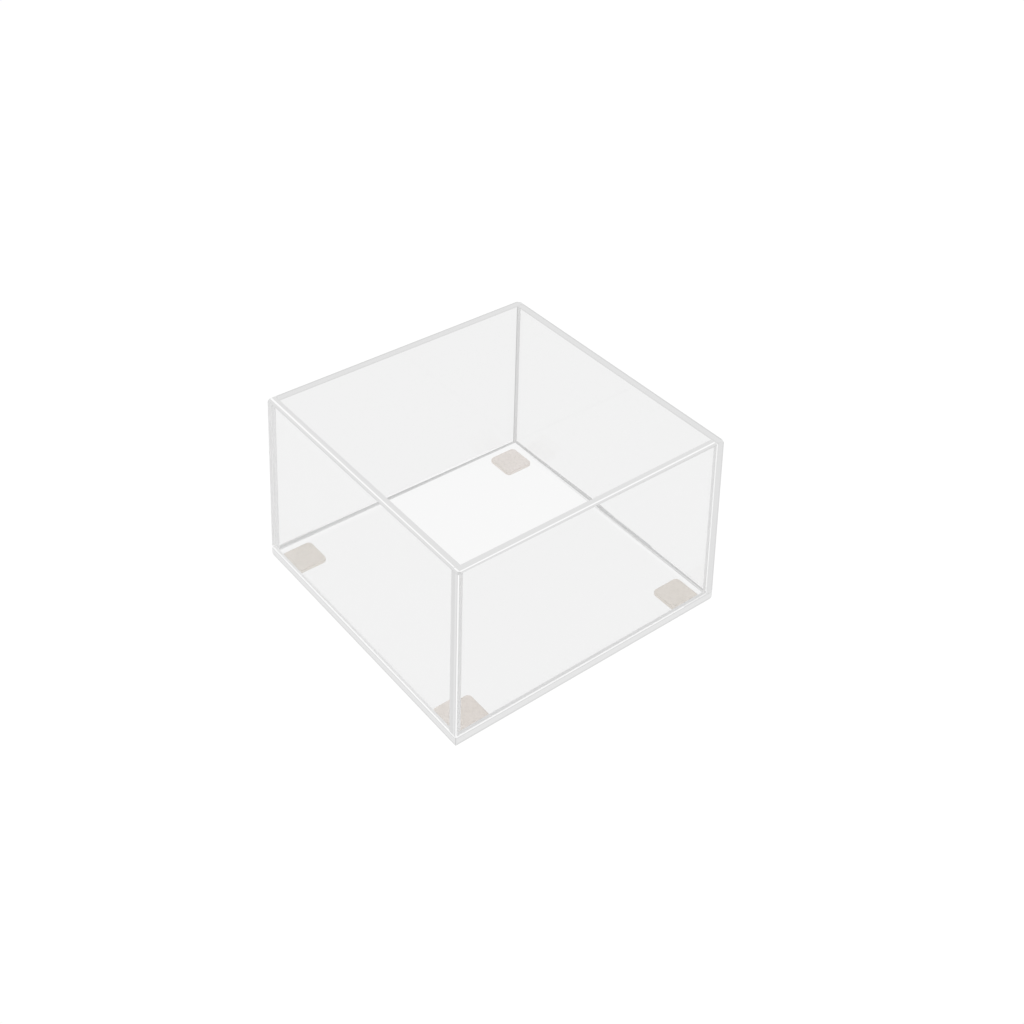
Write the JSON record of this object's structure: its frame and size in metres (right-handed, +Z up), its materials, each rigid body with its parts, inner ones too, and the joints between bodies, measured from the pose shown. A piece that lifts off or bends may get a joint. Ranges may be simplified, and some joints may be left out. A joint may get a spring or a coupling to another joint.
{
  "type": "open-topped acrylic display cube",
  "caption": "Low square open-topped box of clear acrylic sheet panels bonded edge to face, standing on square non-slip corner pads, for showing objects.",
  "frame": {"origin": "centre of the square footprint, on the plane the pads rest on", "axes": "+Z up out of the open top, +X towards the right wall, -Y towards the front wall"},
  "size_m": [0.18, 0.18, 0.1076],
  "materials": {
    "acrylic_sheet": "polished",
    "cured_cement": "gloss",
    "pad_rubber": "matte",
    "pad_adhesive": "satin"
  },
  "bodies": {
    "root": {"base_panel": "acrylic_sheet", "front_wall": "acrylic_sheet", "right_wall": "acrylic_sheet", "back_wall": "acrylic_sheet", "left_wall": "acrylic_sheet", "cement_front_base": "cured_cement", "cement_right_base": "cured_cement", "cement_back_base": "cured_cement", "cement_left_base": "cured_cement", "cement_front_right_corner": "cured_cement", "cement_back_right_corner": "cured_cement", "cement_back_left_corner": "cured_cement", "cement_front_left_corner": "cured_cement", "pad_front_left": "pad_rubber", "pad_front_right": "pad_rubber", "pad_back_left": "pad_rubber", "pad_back_right": "pad_rubber", "pad_adhesive_front_left": "pad_adhesive", "pad_adhesive_front_right": "pad_adhesive", "pad_adhesive_back_left": "pad_adhesive", "pad_adhesive_back_right": "pad_adhesive"}
  },
  "joints": []
}
